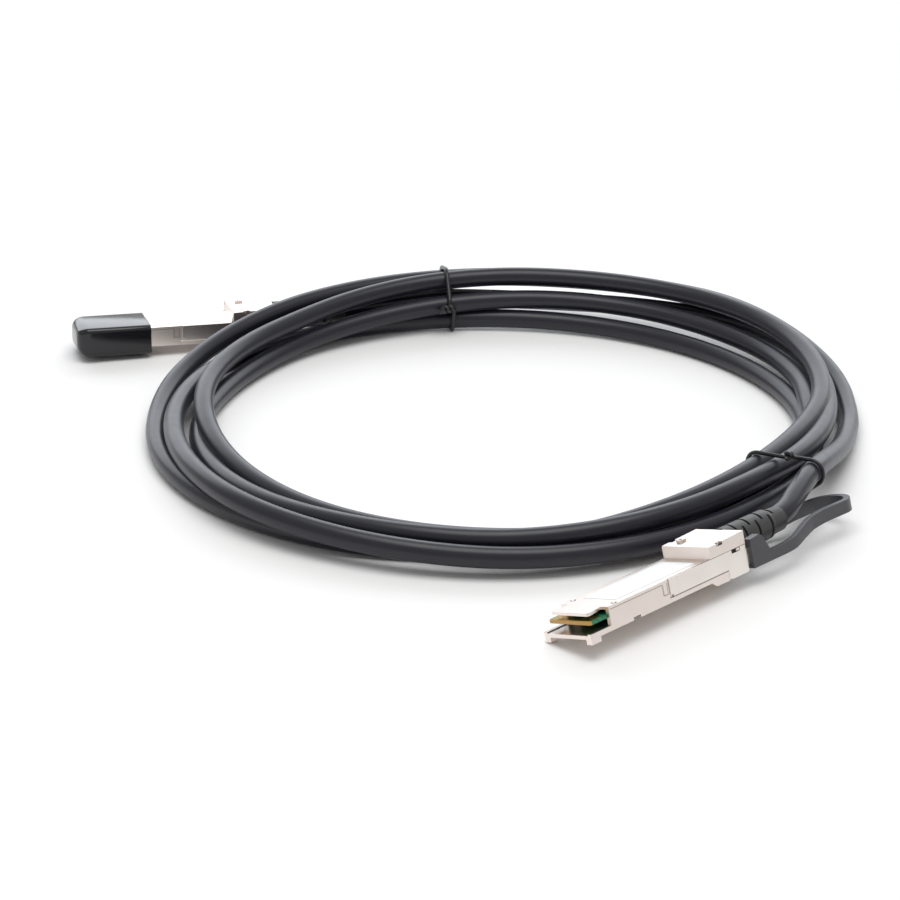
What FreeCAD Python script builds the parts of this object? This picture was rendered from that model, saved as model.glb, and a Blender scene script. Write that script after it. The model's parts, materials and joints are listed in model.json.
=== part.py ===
import FreeCAD, Part
import math
import os

from FreeCAD import Placement, Rotation, Vector

# Direct attach copper cable: two pluggable metal modules, each with a sprung latch slider, a loop
# pull tab and a slotted strain relief, joined by one jacketed twin-axial cable wound in a loose coil.
# Units are millimetres.  +Z is up; the object lies on the plane z = 0, and the origin is the bottom
# centre of the box that holds the two modules.
# A module is drawn in its own axes: x runs from the nose back to the cable, y across, z up.

# ---- module ----
MODULE_WIDTH = 18.35
MODULE_LENGTH = 70.0
MODULE_TOP = 8.5
HALF = MODULE_WIDTH / 2
BELLY_Z = 1.5
FLOOR_T = 1.2
WALL_T = 1.3
PARTING_Z = 7.6
MOUTH_X = 8.8
LEG_LENGTH = 4.0
LEG_WIDTH = 2.2
REAR_STEP_X = 52.8
BACKSHELL_X = 51.5
BACKSHELL_TOP = 12.6
BACKSHELL_WALL = 0.8
TONGUE_X = 2.2
TONGUE_HALF = 7.3

# ---- details of the housing ----
RAIL_Z = 3.1
REAR_HALF = 7.0
REAR_FLOOR_Z = 2.0
REAR_WALL_X = 68.5
WAIST_HALF = 5.9
POCKET_X = 46.3
POCKET_END = 57.8
POCKET_DEPTH = 2.0
POCKET_LOW = 4.0
POCKET_HIGH = 6.4
BELLY_NOTCH_X = 18.2
TOOTH_X = 32.2
TOOTH_W = 1.6
TOOTH_LOW = 4.3
POST_X = (12.0, 34.0)
HOOD_INNER_HALF = 7.7
HOOD_POCKET_X = 57.6
STAKE_X = 12.0
LUG_X = 65.8
LUG_L = 1.4
LUG_Z = 7.5
LUG_H = 0.8
LABEL_X = 15.0
LABEL_END = 50.0
LABEL_HALF = 6.5

# ---- cable and strain relief ----
CABLE_D = 6.8
CABLE_R = CABLE_D / 2
CABLE_Z = 8.2
BOOT_END = 97.0
BOOT_R = 4.7
COLLAR_R = 3.9
COLLAR_L = 6.0
SLIT_W = 0.9
SLIT_PITCH = 3.0
SLIT_COUNT = 7
SLIT_X = 73.4
SLIT_FLOOR = 3.0
NECK_R = 3.6
INNER_NECK_R = 3.2
FLANGE_X = 66.6
FLANGE_HALF = 5.5
FLANGE_LOW = 4.2
FLANGE_HIGH = 11.5
BUNDLE_R = 2.6
BUNDLE_X = 58.0
FERRULE_X = 60.0
FERRULE_L = 5.0
FERRULE_FLAT = 2.95
JACKET_START = 86.0

# ---- latch slider ----
SLIDER_X = 35.0
SLIDER_LOW = 3.0
SLIDER_TOP = 8.4
FINGER_L = 3.7
STRAP_X = 62.0
WINDOW_X = 63.6
WINDOW_L = 3.8
WINDOW_Z = 7.3
WINDOW_H = 1.1
TANG_LOW = 2.2
TANG_HIGH = 7.0
TANG_END = 76.0
SLIDER_SKIRT_X = 61.0
SHEET_T = 0.5
RECESS = 0.7
TRAVEL = 2.0
GAP = 0.15
SPRING_X = 48.4
SPRING_LENGTH = 9.2
SPRING_R = 1.0
SPRING_WIRE = 0.3
SPRING_TURNS = 5
SPRING_STEPS = 6

# ---- pull tab ----
TAB_X = 71.2
TAB_HEAD_END = 81.3
TAB_END = 128.0
TAB_HALF = 10.2
LOOP_HALF = 7.4
BAND_T = 2.0
BAND_H = 4.0
BAND_Z = 4.9
TAB_TAPER_X = 92.0
TAB_TAPER_END = 104.0
HEAD_INNER = 7.6

# ---- paddle card ----
CARD_HALF = 8.2
CARD_T = 1.0
CARD_Z = 5.7
CARD_X = 1.8
CARD_END = 40.0
PADS = 19
PAD_PITCH = 0.8
PAD_W = 0.54
PAD_X = 2.4
PAD_L = 4.6
PAD_T = 0.06
POTTING_HALF = 7.0
POTTING_H = 1.0
PAIR_W = 1.15
PAIR_H = 0.85
PAIR_BEND_X = 52.5

# ---- dust cap ----
CAP_WALL = 1.0
CAP_FRONT = -3.0
CAP_DEPTH = 23.5
CAP_GAP = 0.15
CAP_CORNER_R = 3.6
CAP_EDGE_R = 1.6
CAP_STEPS = 5

# ---- where the modules lie: nose point from the coil's centre; heading, pitch and roll of its axes ----
NEAR_POSE = ((15.96, -172.2, 2.51), 45.7, 0.0, -15.87)
FAR_POSE = ((-150.6, 72.2, 2.52), 15.3, 1.42, -4.4)

# ---- coil: (radius, height) of the cable's centre at eight stations a turn, 45 degrees apart ----
COIL_CENTRE = (24.27, 33.2)
STATION_STEP = 45
SECTION_STEP = 10
TURNS = (
    ((116.0, 3.4), (124.0, 3.4), (117.5, 15.0), (114.5, 16.3),
     (110.7, 8.7), (120.8, 9.6), (121.3, 6.0), (111.5, 5.5)),
    ((99.5, 3.4), (97.5, 3.4), (100.0, 5.8), (102.0, 4.0),
     (104.0, 3.4), (106.3, 4.8), (108.0, 5.8), (107.5, 12.0)),
    ((110.4, 10.0), (105.0, 10.2), (103.0, 11.2), (102.3, 11.0),
     (100.0, 9.4), (98.6, 3.6), (101.2, 3.4), (101.0, 11.0)),
    ((101.5, 13.0), (111.5, 17.2), (108.8, 18.2), (109.0, 12.4),
     (115.4, 3.4), (117.0, 3.4), (114.9, 3.4), (104.5, 5.5)),
    ((107.3, 3.4), (111.4, 5.6), (111.6, 9.0)),
)

# ---- cable between each strain relief and the coil ----
NEAR_LEAD_START = 99.5
NEAR_LEAD = ((-44.0, 125.5, 12.5), (-37.0, 121.5, 13.7), (-28.0, 118.0, 10.6), (-17.0, 117.0, 6.2),
             (-7.0, 116.4, 3.9), (1.0, 116.0, 3.5))
FAR_LEAD_START = 96.5
FAR_LEAD_ENDS = ((107.0, 9.4), (119.0, 12.6), (129.0, 13.6), (138.0, 13.2))

# ---- twist ties round the coil ----
TIE_D = 1.2
TIE_GAP = 0.15
TAIL_L = 13.0
BELT_POINTS = 24
NEAR_LEAD_AT_TIE = (123.1, 13.2)
FRONT_TIE_ANGLE = -40
BACK_TIE_ANGLE = 100


def box(x0, x1, y0, y1, z0, z1):
    """A block between two corners."""
    return Part.makeBox(x1 - x0, y1 - y0, z1 - z0, Vector(x0, y0, z0))


def both_sides(x0, x1, y0, y1, z0, z1):
    """The same block on the left and on the right of the module."""
    return box(x0, x1, y0, y1, z0, z1).fuse(box(x0, x1, -y1, -y0, z0, z1))


def side_profile(outline, half_width):
    """A body that has one (x, z) outline over its whole width."""
    points = [Vector(x, -half_width, z) for x, z in outline]
    face = Part.Face(Part.makePolygon(points + points[:1]))
    return face.extrude(Vector(0, 2 * half_width, 0))


def plan_profile(outline, z0, z1):
    """A body that has one (x, y) outline over its whole height."""
    points = [Vector(x, y, z0) for x, y in outline]
    face = Part.Face(Part.makePolygon(points + points[:1]))
    return face.extrude(Vector(0, 0, z1 - z0))


def mirrored(outline):
    """Close a plan outline, given for y above 0, with its mirror image."""
    return list(outline) + [(x, -y) for x, y in reversed(outline)]


def rod(x0, x1, radius, z=CABLE_Z):
    """A round bar along the module's cable axis."""
    return Part.makeCylinder(radius, x1 - x0, Vector(x0, 0, z), Vector(1, 0, 0))


# ---- module housing ----

def slider_recess(clearance):
    """The room that the latch slider and its strap need in the housing, both sides."""
    front = SLIDER_X - 4 * clearance
    floor = HALF - RECESS
    sides = both_sides(front, MODULE_LENGTH + 1, floor, HALF + 1,
                       SLIDER_LOW - clearance, SLIDER_TOP + clearance)
    skirts = both_sides(SLIDER_SKIRT_X - clearance, MODULE_LENGTH + 1, floor, HALF + 1, -1, SLIDER_TOP)
    strap = box(STRAP_X - clearance, MODULE_LENGTH + 1, -HALF - 1, HALF + 1, -1, SHEET_T + clearance)
    return sides.fuse([skirts, strap])


def tooth(clearance=0.0):
    """The tooth of the cover that drops into a notch of the base, both sides."""
    return both_sides(TOOTH_X - clearance, TOOTH_X + TOOTH_W + clearance, HALF - WALL_T - clearance, HALF,
                      TOOTH_LOW - clearance, PARTING_Z + 0.2)


def lower_shell():
    """Die-cast base: nose plate on two legs, side walls, card posts, spring pockets and rear foot."""
    outline = ((0, BELLY_Z), (REAR_STEP_X, BELLY_Z), (REAR_STEP_X + 2.1, 0), (MODULE_LENGTH, 0),
               (MODULE_LENGTH, PARTING_Z), (MOUTH_X, PARTING_Z), (MOUTH_X, RAIL_Z), (0, RAIL_Z))
    floor_z = BELLY_Z + FLOOR_T
    inner = HALF - WALL_T
    shell = side_profile(outline, HALF)
    shell = shell.fuse(both_sides(0, LEG_LENGTH, HALF - LEG_WIDTH, HALF, 0, BELLY_Z))
    cuts = [
        box(-1, POCKET_X - 0.8, -inner, inner, floor_z, PARTING_Z + 1),
        box(POCKET_X - 1, POCKET_END + 0.5, -WAIST_HALF, WAIST_HALF, floor_z, PARTING_Z + 1),
        box(POCKET_END, REAR_WALL_X, -REAR_HALF, REAR_HALF, REAR_FLOOR_Z, PARTING_Z + 1),
        both_sides(POCKET_X, POCKET_END, HALF - RECESS - POCKET_DEPTH, HALF, POCKET_LOW, POCKET_HIGH),
        both_sides(BELLY_NOTCH_X, BELLY_NOTCH_X + 3.1, HALF - 2.2, HALF + 1, -1, BELLY_Z + 0.9),
        rod(REAR_WALL_X - 1, MODULE_LENGTH + 1, NECK_R + GAP),
        slider_recess(GAP),
        tooth(0.05),
    ]
    shell = shell.cut(cuts)
    under_card = CARD_Z - CARD_T / 2
    posts = [both_sides(x, x + 2.0, 6.4, inner, floor_z, under_card) for x in POST_X]
    return shell.fuse(posts)


def backshell_outline(inset):
    """Side outline of the raised rear hood, moved inwards by the wall thickness."""
    return ((BACKSHELL_X + 1.3 * inset, PARTING_Z - inset), (BACKSHELL_X + 1.3 * inset, MODULE_TOP - inset),
            (BACKSHELL_X + 2.7 + inset, BACKSHELL_TOP - 0.5 - inset), (MODULE_LENGTH, BACKSHELL_TOP - inset),
            (MODULE_LENGTH, PARTING_Z - inset))


def upper_shell():
    """Cover: tongue over the card, flat plate, and the ramped hood over the cable's end."""
    plate = plan_profile(mirrored(((TONGUE_X, TONGUE_HALF - 0.7), (TONGUE_X + 0.7, TONGUE_HALF),
                                   (MOUTH_X, TONGUE_HALF - 1.0), (MOUTH_X, HALF), (BACKSHELL_X + 2, HALF))),
                         PARTING_Z, MODULE_TOP)
    hood_plan = plan_profile(mirrored(((BACKSHELL_X, HALF - 2.4), (BACKSHELL_X + 2.5, HALF),
                                       (MODULE_LENGTH, HALF))), 0, BACKSHELL_TOP + 1)
    hood = side_profile(backshell_outline(0), HALF).common(hood_plan)
    hollow_plan = box(0, REAR_WALL_X, -HOOD_INNER_HALF, HOOD_INNER_HALF, 0, BACKSHELL_TOP)
    hollow = side_profile(backshell_outline(BACKSHELL_WALL), HALF).common(hollow_plan)
    lip = both_sides(MOUTH_X + 2, TOOTH_X - 1, HALF - WALL_T - 0.85, HALF - WALL_T - 0.05, PARTING_Z - 0.6,
                     PARTING_Z)
    cover = plate.fuse([hood, tooth(), lip])
    cuts = [
        hollow,
        rod(REAR_WALL_X - 1, MODULE_LENGTH + 1, NECK_R + GAP),
        slider_recess(GAP),
        both_sides(STAKE_X, STAKE_X + 1.6, HALF - 1.5, HALF - 0.9, PARTING_Z - 1, MODULE_TOP + 1),
        both_sides(HOOD_POCKET_X, HOOD_POCKET_X + 2.6, HALF - 1.1, HALF + 1, BACKSHELL_TOP - 1.3,
                   BACKSHELL_TOP + 1),
    ]
    cover = cover.cut(cuts)
    window_lug = both_sides(LUG_X, LUG_X + LUG_L, HALF - RECESS - 0.3, HALF - 0.1, LUG_Z, LUG_Z + LUG_H)
    return cover.fuse(window_lug)


# ---- inside the module ----

def paddle_card():
    """Edge-connector board: wide at the mating end, narrower between the housing's walls."""
    narrow = HALF - WALL_T - 0.2
    outline = mirrored(((CARD_X, CARD_HALF - 0.5), (CARD_X + 0.5, CARD_HALF), (MOUTH_X - 0.2, CARD_HALF),
                        (MOUTH_X - 0.2, narrow), (CARD_END, narrow)))
    return plan_profile(outline, CARD_Z - CARD_T / 2, CARD_Z + CARD_T / 2)


def card_contacts():
    """Nineteen gold pads on each face of the board."""
    pads = []
    for index in range(PADS):
        y = (index - (PADS - 1) / 2) * PAD_PITCH
        for z in (CARD_Z + CARD_T / 2, CARD_Z - CARD_T / 2 - PAD_T):
            pads.append(box(PAD_X, PAD_X + PAD_L, y - PAD_W / 2, y + PAD_W / 2, z, z + PAD_T))
    return Part.makeCompound(pads)


def solder_potting():
    """Potting over the soldered wire ends, above and below the board."""
    top = CARD_Z + CARD_T / 2
    bottom = CARD_Z - CARD_T / 2
    return Part.makeCompound([
        box(CARD_END - 3.6, CARD_END - 0.2, -POTTING_HALF, POTTING_HALF, top, top + POTTING_H),
        box(CARD_END - 3.6, CARD_END - 0.2, -POTTING_HALF, POTTING_HALF, bottom - POTTING_H, bottom),
    ])


def pair_section(x, y, z):
    """Flat eight-sided section of one twin-axial pair."""
    w, h, c = PAIR_W / 2, PAIR_H / 2, PAIR_H * 0.28
    corners = ((-w, -h + c), (-w + c, -h), (w - c, -h), (w, -h + c), (w, h - c), (w - c, h), (-w + c, h),
               (-w, h - c))
    points = [Vector(x, y + dy, z + dz) for dy, dz in corners]
    return Part.makePolygon(points + points[:1])


def wire_pairs():
    """Eight twin-axial pairs from the potting to the bundle, four above and four below the board."""
    pairs = []
    for side in (1, -1):
        start_z = CARD_Z + side * (CARD_T + POTTING_H) / 2
        for index in range(4):
            lane = index - 1.5
            stations = ((CARD_END - 0.2, lane * 2.9, start_z), (PAIR_BEND_X, lane * 1.7, start_z + 0.3),
                        (BUNDLE_X, lane * 1.2, CABLE_Z + side * 0.7))
            sections = [pair_section(*station) for station in stations]
            pairs.append(Part.makeLoft(sections, True, True))
    return Part.makeCompound(pairs)


def shield_bundle():
    """Foil and braid bundle of the stripped cable, up to the end of the jacket."""
    return rod(BUNDLE_X, JACKET_START, BUNDLE_R)


def crimp_ferrule():
    """Sleeve crimped on the braid to six flats."""
    corner_r = FERRULE_FLAT / math.cos(math.pi / 6)
    corners = []
    for corner in range(6):
        a = corner * math.pi / 3
        corners.append(Vector(FERRULE_X, corner_r * math.cos(a), CABLE_Z + corner_r * math.sin(a)))
    sleeve = Part.Face(Part.makePolygon(corners + corners[:1])).extrude(Vector(FERRULE_L, 0, 0))
    return sleeve.cut(rod(FERRULE_X - 1, FERRULE_X + FERRULE_L + 1, BUNDLE_R))


def identity_label():
    """Blank label on the flat top of the cover."""
    return plan_profile(mirrored(((LABEL_X, LABEL_HALF - 0.6), (LABEL_X + 0.6, LABEL_HALF),
                                  (LABEL_END - 0.6, LABEL_HALF), (LABEL_END, LABEL_HALF - 0.6))),
                        MODULE_TOP, MODULE_TOP + 0.1)


# ---- latch slider, its springs and the pull tab ----

def latch_slider():
    """Sprung sheet-metal slider: two side plates joined by a strap below, with a stop window each side."""
    outer = HALF - 0.1
    inner = outer - SHEET_T
    plates = both_sides(SLIDER_X, MODULE_LENGTH, inner, outer, SLIDER_LOW, SLIDER_TOP)
    skirts = both_sides(SLIDER_SKIRT_X, MODULE_LENGTH, inner, outer, SHEET_T / 2, SLIDER_TOP)
    strap = box(STRAP_X, MODULE_LENGTH - 0.5, -outer, outer, 0, SHEET_T)
    finger_end = SLIDER_X + FINGER_L
    finger = side_profile(((SLIDER_X, 4.6), (finger_end, 4.2), (finger_end, 6.4), (SLIDER_X, 6.0)), outer)
    finger = finger.cut(box(SLIDER_X - 1, finger_end + 1, -inner, inner, 0, SLIDER_TOP))
    spring_tabs = both_sides(SPRING_X - 0.6, SPRING_X - 0.1, HALF - RECESS - POCKET_DEPTH + 0.3, inner,
                             POCKET_LOW + 0.3, POCKET_HIGH - 0.3)
    tangs = both_sides(MODULE_LENGTH, TANG_END, inner, outer, TANG_LOW, TANG_HIGH)
    slider = plates.fuse([skirts, strap, finger, spring_tabs, tangs])
    window = both_sides(WINDOW_X, WINDOW_X + WINDOW_L, inner - 0.5, outer + 0.5,
                        WINDOW_Z, WINDOW_Z + WINDOW_H)
    corner = both_sides(SLIDER_X - 1, SLIDER_X + 1.2, inner - 0.5, outer + 0.5, 0, SLIDER_LOW + 0.7)
    return slider.cut([window, corner])


def coil_spring(y):
    """Return spring along x: a square wire wound in straight steps."""
    steps = SPRING_TURNS * SPRING_STEPS
    pitch = (SPRING_LENGTH - SPRING_WIRE) / SPRING_TURNS
    mid = SPRING_R - SPRING_WIRE / 2
    centre_z = (POCKET_LOW + POCKET_HIGH) / 2
    rings = []
    for index in range(steps + 1):
        turn = index / SPRING_STEPS
        angle = 2 * math.pi * turn
        x = SPRING_X + SPRING_WIRE / 2 + pitch * turn
        ring = []
        for radial, along in ((-1, -1), (1, -1), (1, 1), (-1, 1)):
            radius = mid + radial * SPRING_WIRE / 2
            ring.append(Vector(x + along * SPRING_WIRE / 2, y + radius * math.cos(angle),
                               centre_z + radius * math.sin(angle)))
        rings.append(ring)
    return skin(rings)


def latch_springs():
    """One return spring in the pocket at each side."""
    y = HALF - RECESS - POCKET_DEPTH / 2
    return Part.makeCompound([coil_spring(y), coil_spring(-y)])


def loop_plan(offset):
    """Plan outline of the pull tab, offset inwards: two straight arms that end in a rounded loop."""
    radius = LOOP_HALF - offset
    wide = TAB_HALF - offset
    centre_x = TAB_END - LOOP_HALF
    upper = [Vector(TAB_X - 1, wide, 0), Vector(TAB_TAPER_X, wide, 0), Vector(TAB_TAPER_END, radius, 0),
             Vector(centre_x, radius, 0)]
    lower = [Vector(p.x, -p.y, 0) for p in reversed(upper)]
    arc = Part.Arc(upper[-1], Vector(centre_x + radius, 0, 0), lower[0]).toShape()
    edges = list(Part.makePolygon(upper).Edges) + [arc] + list(Part.makePolygon(lower).Edges)
    edges.append(Part.makeLine(lower[-1], upper[0]))
    return Part.Face(Part.Wire(edges)).extrude(Vector(0, 0, 20))


def smooth_edge(outline):
    """An edge through (x, z) points that leaves the first and reaches the last level."""
    curve = Part.BSplineCurve()
    curve.interpolate(Points=[Vector(x, 0, z) for x, z in outline], InitialTangent=Vector(1, 0, 0),
                      FinalTangent=Vector(1, 0, 0))
    return curve.toShape()


def arm_profile():
    """Side view of the pull tab's arms, which rise in one smooth bend to the level of the loop."""
    low, high = BAND_Z - BAND_H / 2, BAND_Z + BAND_H / 2
    start, end = TAB_HEAD_END - 0.8, TAB_END + 1
    under = smooth_edge(((start, 0.5), (90, 0.6), (98, 1.9), (106, low), (end, low)))
    over = smooth_edge(((start, 3.6), (90, 4.0), (98, 5.7), (106, high), (end, high)))
    front = Part.makeLine(Vector(start, 0, 3.6), Vector(start, 0, 0.5))
    back = Part.makeLine(Vector(end, 0, low), Vector(end, 0, high))
    face = Part.Face(Part.Wire([under, back, over, front]))
    face.translate(Vector(0, -TAB_HALF - 1, 0))
    return face.extrude(Vector(0, 2 * TAB_HALF + 2, 0))


def pull_tab():
    """Moulded pull tab: a head on each slider tang, and a flat band that runs back to a finger loop."""
    head = ((TAB_X, 9.4), (75.6, 9.8), (76.8, 9.1), (79.6, 3.9), (TAB_HEAD_END, 3.3), (TAB_HEAD_END, 0.5),
            (TAB_X, 0.5))
    room = box(TAB_X - 1, TAB_HEAD_END + 1, -HEAD_INNER, HEAD_INNER, -1, BACKSHELL_TOP)
    heads = side_profile(head, TAB_HALF).cut(room)
    band = loop_plan(0).cut(loop_plan(BAND_T))
    arms = arm_profile().common(band)
    tangs = both_sides(TAB_X - 1, TANG_END + 0.05, HALF - 0.1 - SHEET_T - 0.02, HALF - 0.08, TANG_LOW - 0.02,
                       TANG_HIGH + 0.02)
    return heads.fuse(arms).cut(tangs)


# ---- strain relief ----

def strain_relief():
    """Moulded strain relief: flange and neck in the rear wall, slotted body, smooth collar."""
    neck_x = REAR_WALL_X - 0.1
    body_x = MODULE_LENGTH + 0.2
    collar_x = BOOT_END - COLLAR_L
    outline = ((FLANGE_X, BUNDLE_R), (FLANGE_X, INNER_NECK_R), (neck_x, INNER_NECK_R), (neck_x, NECK_R),
               (body_x, NECK_R), (body_x, BOOT_R), (collar_x - 1.0, BOOT_R), (collar_x, COLLAR_R + 0.15),
               (BOOT_END - 0.4, COLLAR_R), (BOOT_END, COLLAR_R - 0.3), (BOOT_END, CABLE_R),
               (JACKET_START, CABLE_R), (JACKET_START, BUNDLE_R))
    points = [Vector(x, 0, CABLE_Z + r) for x, r in outline]
    face = Part.Face(Part.makePolygon(points + points[:1]))
    body = face.revolve(Vector(0, 0, CABLE_Z), Vector(1, 0, 0), 360)
    flange = box(FLANGE_X, neck_x, -FLANGE_HALF, FLANGE_HALF, FLANGE_LOW, FLANGE_HIGH)
    flange = flange.cut(rod(FLANGE_X - 1, REAR_WALL_X, BUNDLE_R))
    return body.fuse(flange).cut(relief_slots())


def relief_slots():
    """Slots across the body, in turn above and below and then at both sides."""
    slots = []
    reach = BOOT_R + 1
    for index in range(SLIT_COUNT):
        x0 = SLIT_X + index * SLIT_PITCH
        x1 = x0 + SLIT_W
        if index % 2 == 0:
            slots.append(box(x0, x1, -reach, reach, CABLE_Z + SLIT_FLOOR, CABLE_Z + reach))
            slots.append(box(x0, x1, -reach, reach, CABLE_Z - reach, CABLE_Z - SLIT_FLOOR))
        else:
            slots.append(both_sides(x0, x1, SLIT_FLOOR, reach, CABLE_Z - reach, CABLE_Z + reach))
    return slots


# ---- dust cap on the far module ----

def rounded(low, high, radii, along):
    """A bar on a rectangle of two coordinates whose four corners have these radii, lengthened along an axis.

    The corners go round from (low, low) by way of (high, low); along holds the axis number and its two ends.
    """
    axis, start, end = along
    corners = ((low[0], low[1], 1, 1), (high[0], low[1], -1, 1),
               (high[0], high[1], -1, -1), (low[0], high[1], 1, -1))
    outline = []
    for index, ((u, v, du, dv), radius) in enumerate(zip(corners, radii)):
        steps = CAP_STEPS if radius else 0
        for step in range(steps + 1):
            a = math.pi / 2 * step / max(steps, 1)
            if index % 2:
                a = math.pi / 2 - a
            outline.append((u + du * radius * (1 - math.cos(a)), v + dv * radius * (1 - math.sin(a))))
    points = []
    for u, v in outline:
        place = [u, v]
        place.insert(axis, start)
        points.append(Vector(*place))
    ahead = [0, 0]
    ahead.insert(axis, end - start)
    return Part.Face(Part.makePolygon(points + points[:1])).extrude(Vector(*ahead))


def dust_cap():
    """Soft moulded cap over the far module's nose: rounded closed end, open back."""
    inside = HALF + CAP_GAP
    out = inside + CAP_WALL
    top = MODULE_TOP + CAP_GAP + CAP_WALL
    bottom = -CAP_WALL - CAP_GAP
    nose, edge = CAP_CORNER_R, CAP_EDGE_R
    plan = rounded((CAP_FRONT, -out), (CAP_DEPTH, out), (nose, 0, 0, nose), (2, bottom, top))
    side = rounded((CAP_FRONT, bottom), (CAP_DEPTH, top), (nose, 0, 0, edge * 1.5), (1, -out, out))
    section = rounded((-out, bottom), (out, top), (edge, edge, edge, edge), (0, CAP_FRONT, CAP_DEPTH))
    deep = nose - CAP_WALL
    room = rounded((CAP_FRONT + CAP_WALL, -inside), (CAP_DEPTH + 1, inside), (deep, 0, 0, deep),
                   (2, -CAP_GAP, MODULE_TOP + CAP_GAP))
    return plan.common(side).common(section).cut(room)


# ---- cable ----

def skin(rings):
    """A closed solid from a row of rings with the same number of points, in flat triangles."""
    faces = []
    count = len(rings[0])
    for first, second in zip(rings, rings[1:]):
        for index in range(count):
            after = (index + 1) % count
            faces.append((first[index], first[after], second[after]))
            faces.append((first[index], second[after], second[index]))
    if (rings[0][0] - rings[-1][0]).Length > 1e-6:
        for ring in (rings[0], rings[-1]):
            faces.extend((ring[0], ring[i], ring[i + 1]) for i in range(1, count - 1))
    shell = Part.Shell([Part.Face(Part.makePolygon([a, b, c, a])) for a, b, c in faces])
    solid = Part.Solid(shell)
    if solid.Volume < 0:
        solid.reverse()
    return solid


def coil_point(angle, radius, z):
    """A point of the coil, from its angle in degrees, radius and height."""
    a = math.radians(angle)
    return Vector(COIL_CENTRE[0] + radius * math.cos(a), COIL_CENTRE[1] + radius * math.sin(a), z)


def cable_at(turn_angle):
    """Radius and height of the cable's centre, smoothed between its stations."""
    stations = [station for turn in TURNS for station in turn]
    place = turn_angle / STATION_STEP
    index = min(int(place), len(stations) - 2)
    t = place - index
    before = stations[max(index - 1, 0)]
    a, b = stations[index], stations[index + 1]
    after = stations[min(index + 2, len(stations) - 1)]
    value = []
    for p0, p1, p2, p3 in zip(before, a, b, after):
        value.append(0.5 * (2 * p1 + (p2 - p0) * t + (2 * p0 - 5 * p1 + 4 * p2 - p3) * t * t
                            + (3 * p1 - p0 - 3 * p2 + p3) * t ** 3))
    return value[0], max(value[1], CABLE_R)


def strands(angle):
    """Where the turns cross the half-plane at this angle of the coil."""
    last = STATION_STEP * (sum(len(turn) for turn in TURNS) - 1)
    found = []
    turn_angle = angle % 360
    while turn_angle <= last:
        found.append(cable_at(turn_angle))
        turn_angle += 360
    return found


def wrap(circles, margin, sides):
    """The tangent polygon round a group of cable sections, with a margin outside them."""
    lines = []
    for index in range(sides):
        a = 2 * math.pi * index / sides
        c, s = math.cos(a), math.sin(a)
        lines.append((c, s, max(r * c + z * s for r, z in circles) + CABLE_R + margin))
    corners = []
    for index in range(sides):
        c0, s0, d0 = lines[index]
        c1, s1, d1 = lines[(index + 1) % sides]
        det = c0 * s1 - c1 * s0
        corners.append(((d0 * s1 - d1 * s0) / det, (c0 * d1 - c1 * d0) / det))
    return corners


def cable_coil():
    """The outer shape of the loose coil, with the room that the far module lies in."""
    rings = []
    for angle in range(0, 361, SECTION_STEP):
        rings.append([coil_point(angle, r, z) for r, z in wrap(strands(angle), 0.0, 12)])
    solid = skin(rings)
    wide = TAB_HALF + 0.7
    slim = LOOP_HALF + 0.7
    arm_top = BAND_Z + BAND_H / 2 + 0.6
    room = box(-10, TAB_TAPER_X + 2, -wide, wide, -10, BACKSHELL_TOP + 0.7)
    room = room.fuse([box(TAB_TAPER_X, TAB_TAPER_END + TRAVEL + 1.0, -wide, wide, -10, arm_top),
                      box(TAB_TAPER_X, TAB_END + TRAVEL + 1.0, -slim, slim, -10, arm_top),
                      rod(TAB_TAPER_X, BOOT_END + 2, BOOT_R + 0.4)])
    room.Placement = FAR
    return solid.cut(room)


def rounded_route(points):
    """Straight runs joined by tangent arcs, each as large as its two runs allow; returns wire and radii."""
    runs = [(b - a).Length for a, b in zip(points, points[1:])]
    edges, radii = [], []
    start = points[0]
    for index in range(1, len(points) - 1):
        corner = points[index]
        back = (points[index - 1] - corner).normalize()
        ahead = (points[index + 1] - corner).normalize()
        turn = math.pi - back.getAngle(ahead)
        reach = 0.45 * min(runs[index - 1], runs[index])
        radius = reach / math.tan(turn / 2)
        enter, leave = corner + back * reach, corner + ahead * reach
        bisector = (back + ahead).normalize()
        middle = corner + bisector * (radius / math.cos(turn / 2) - radius)
        edges.append(Part.LineSegment(start, enter).toShape())
        edges.append(Part.Arc(enter, middle, leave).toShape())
        radii.append(round(radius, 1))
        start = leave
    edges.append(Part.LineSegment(start, points[-1]).toShape())
    return Part.Wire(edges), radii


def lead(name, points):
    """A tube along the stretch of cable between a strain relief and the coil."""
    wire, radii = rounded_route(points)
    along = (points[1] - points[0]).normalize()
    circle = Part.Wire(Part.Circle(points[0], along, CABLE_R).toShape())
    tube = wire.makePipeShell([circle], True, True)
    expected = math.pi * CABLE_R ** 2 * wire.Length
    print(name, "radii", radii, "length", round(wire.Length, 1), "volume / expected",
          round(tube.Volume / expected, 4))
    return tube


def near_lead():
    """From the near strain relief over its pull loop to the start of the coil."""
    points = [NEAR.multVec(Vector(x, 0, CABLE_Z)) for x in (JACKET_START, NEAR_LEAD_START)]
    points += [coil_point(*station) for station in NEAR_LEAD]
    return lead("near_lead", points)


def far_lead():
    """From the far strain relief over its pull loop into the coil."""
    points = [FAR.multVec(Vector(x, 0, CABLE_Z)) for x in (JACKET_START, FAR_LEAD_START)]
    points += [FAR.multVec(Vector(x, 0, z)) for x, z in FAR_LEAD_ENDS]
    return lead("far_lead", points)


def belt(circles, reach):
    """The points of a tight belt round the group, at this distance from the cable's centres."""
    points = []
    for index in range(BELT_POINTS):
        a = 2 * math.pi * index / BELT_POINTS
        c, s = math.cos(a), math.sin(a)
        r, z = max(circles, key=lambda circle: circle[0] * c + circle[1] * s)
        points.append((r + reach * c, z + reach * s))
    return points


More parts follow.
